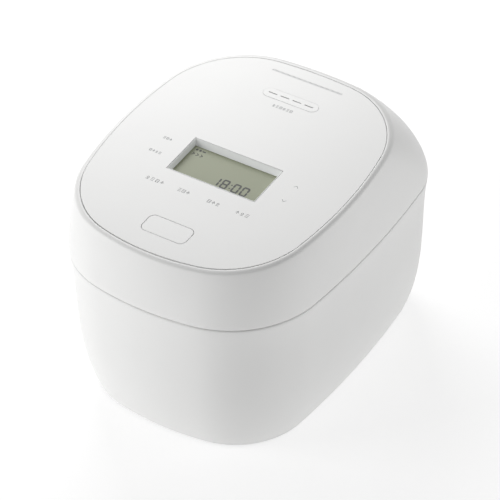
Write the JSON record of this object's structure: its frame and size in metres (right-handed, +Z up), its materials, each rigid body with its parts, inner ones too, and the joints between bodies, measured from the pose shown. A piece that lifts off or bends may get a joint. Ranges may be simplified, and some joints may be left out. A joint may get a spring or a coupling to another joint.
{
  "type": "rice cooker",
  "caption": "Household rice cooker with a hinged one-piece lid, tilted touch panel with sunk display, slotted steam outlet and push-to-open button.",
  "frame": {"origin": "on the floor under the middle of the cooker's width and depth", "axes": "+Z up, the front with the open button faces -Y, +X to the right seen from the front"},
  "size_m": [0.238, 0.3212, 0.2203],
  "materials": {
    "case_white": "satin moulded white",
    "panel_white": "smooth white top film",
    "button_white": "satin moulded white",
    "grille_white": "satin moulded white",
    "bezel_grey": "fine matte light grey",
    "display": "grey-green liquid crystal display",
    "frame_grey": "matte grey",
    "underside_white": "matte white",
    "heat_plastic": "black heat-proof moulding",
    "foot_rubber": "matte black",
    "zinc_steel": "zinc-plated steel",
    "pot_coating": "dark non-stick coating",
    "copper_winding": "enamelled copper wire",
    "ferrite": "pressed ferrite",
    "aluminium": "plain aluminium",
    "inner_lid_steel": "brushed stainless steel",
    "board_green": "green circuit board",
    "part_black": "moulded black",
    "capacitor_grey": "moulded grey",
    "fan_black": "moulded black",
    "inlet_white": "moulded white",
    "pin_brass": "plated brass",
    "seal_grey": "grey silicone"
  },
  "bodies": {
    "base": {"outer_case": "case_white", "base_cover": "frame_grey", "rubber_feet": "foot_rubber", "base_screws": "zinc_steel", "top_frame": "frame_grey", "catch_plate": "zinc_steel", "coil_bowl": "heat_plastic", "inner_pot": "pot_coating", "inner_coil": "copper_winding", "outer_coil": "copper_winding", "coil_plate": "heat_plastic", "ferrite_bars": "ferrite", "side_heater": "aluminium", "sensor_holder": "heat_plastic", "sensor_spring": "zinc_steel", "power_board": "board_green", "heat_sink": "aluminium", "power_devices": "part_black", "filter_capacitors": "capacitor_grey", "choke_coil": "copper_winding", "fan_housing": "fan_black", "power_inlet": "inlet_white", "inlet_pins": "pin_brass", "hinge_cover": "case_white", "hinge_pin": "zinc_steel"},
    "lid": {"lid_shell": "case_white", "lid_panel": "panel_white", "window_frame": "bezel_grey", "display_glass": "display", "control_board": "board_green", "buzzer": "part_black", "clock_battery": "zinc_steel", "board_chips": "part_black", "steam_grille": "grille_white", "steam_duct": "underside_white", "steam_seal": "seal_grey", "lid_lower_case": "underside_white", "lid_screws": "zinc_steel", "heater_plate": "aluminium", "lid_heater": "copper_winding", "lid_sensor": "aluminium", "inner_lid": "inner_lid_steel", "lid_gasket": "seal_grey", "latch_pin": "zinc_steel"},
    "button": {"open_button": "button_white"},
    "latch": {"latch": "part_black"},
    "fan_rotor": {"fan_rotor": "fan_black"},
    "pot_sensor": {"pot_sensor": "aluminium"}
  },
  "joints": [
    {"name": "lid_hinge", "type": "hinge", "parent": "base", "child": "lid", "pos_m": [0, 0.14165, 0.165], "axis": [-1, 0, 0], "range_deg": [0, 85]},
    {"name": "button_press", "type": "slide", "parent": "lid", "child": "button", "axis": [0, 0.0976, -0.9952], "range_m": [0, 0.003], "stiffness_N_per_m": 400, "springref_m": -0.002},
    {"name": "latch_turn", "type": "hinge", "parent": "lid", "child": "latch", "pos_m": [0, -0.14535, 0.166], "axis": [-1, 0, 0], "range_deg": [0, 10.1]},
    {"name": "fan_spin", "type": "hinge", "parent": "base", "child": "fan_rotor", "pos_m": [0.02, 0.10865, 0.012], "axis": [0, 0, 1], "continuous": true},
    {"name": "sensor_press", "type": "slide", "parent": "base", "child": "pot_sensor", "axis": [0, 0, -1], "range_m": [0, 0.002], "stiffness_N_per_m": 300, "springref_m": -0.003, "deforming": ["sensor_spring"]}
  ],
  "couplings": [
    {"joint": "latch_turn", "follows": "button_press", "rad_per_m": 58.178}
  ]
}
